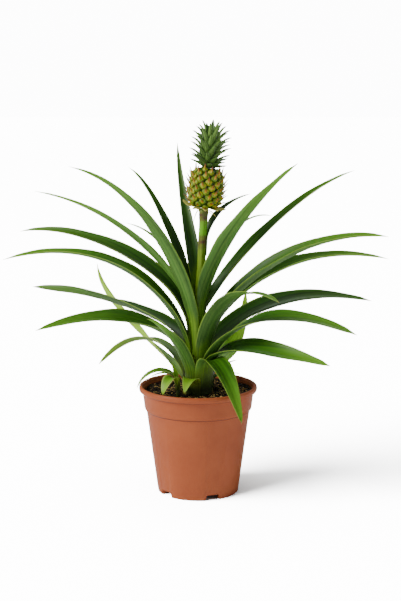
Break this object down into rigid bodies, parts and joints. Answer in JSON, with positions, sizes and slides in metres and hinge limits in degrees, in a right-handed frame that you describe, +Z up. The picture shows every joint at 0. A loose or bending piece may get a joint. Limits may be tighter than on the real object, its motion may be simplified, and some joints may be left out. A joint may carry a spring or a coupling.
{
  "type": "potted pineapple plant",
  "caption": "Small pineapple plant in fruit: a rosette of long arching leaves and a stalk with one crowned fruit, in a round nursery pot of soil.",
  "frame": {"origin": "on the ground at the centre of the pot's foot, which is the middle of the overall extents", "axes": "+Z up along the pot's axis, -Y the front side, +X to the right of someone facing the front"},
  "size_m": [0.3935, 0.2702, 0.3765],
  "materials": {
    "pot": "satin moulded plastic, terracotta colour",
    "soil": "moist bark and peat potting mix",
    "stem": "waxy green stalk, brown at the nodes",
    "leaf": "waxy leaf, greyer underneath",
    "young_leaf": "waxy young leaf, bright green",
    "fruit": "waxy yellow-green rind with orange-brown bracts",
    "crown": "dark green leaves with a grey bloom"
  },
  "bodies": {
    "root": {"pot": "pot", "soil": "soil", "stem": "stem", "sucker": "young_leaf", "fruit": "fruit", "crown": "crown", "leaf_stalk": "leaf", "leaf_right_slim": "leaf", "leaf_back_tall": "leaf", "leaf_front_right_tall": "leaf", "leaf_back_left_tall": "leaf", "leaf_right_tall": "leaf", "leaf_left_tall": "leaf", "leaf_back_left_slim": "leaf", "leaf_front_left_tall": "leaf", "leaf_right_long_upper": "leaf", "leaf_left_long_upper": "leaf", "leaf_right_long_lower": "leaf", "leaf_left_long_lower": "leaf", "leaf_front_right_twisted": "leaf", "leaf_left_twisted": "leaf", "leaf_right_low_upper": "leaf", "leaf_left_low": "leaf", "leaf_right_low_lower": "leaf", "leaf_front_left_short": "leaf", "leaf_back_right_upturned": "leaf", "leaf_right_broad": "leaf", "leaf_back_left_arched": "leaf", "leaf_front_drooping": "leaf", "leaf_right_small_upper": "leaf", "leaf_back_left_pale": "leaf", "leaf_back_right_small": "leaf", "leaf_front_low": "leaf"}
  },
  "joints": []
}
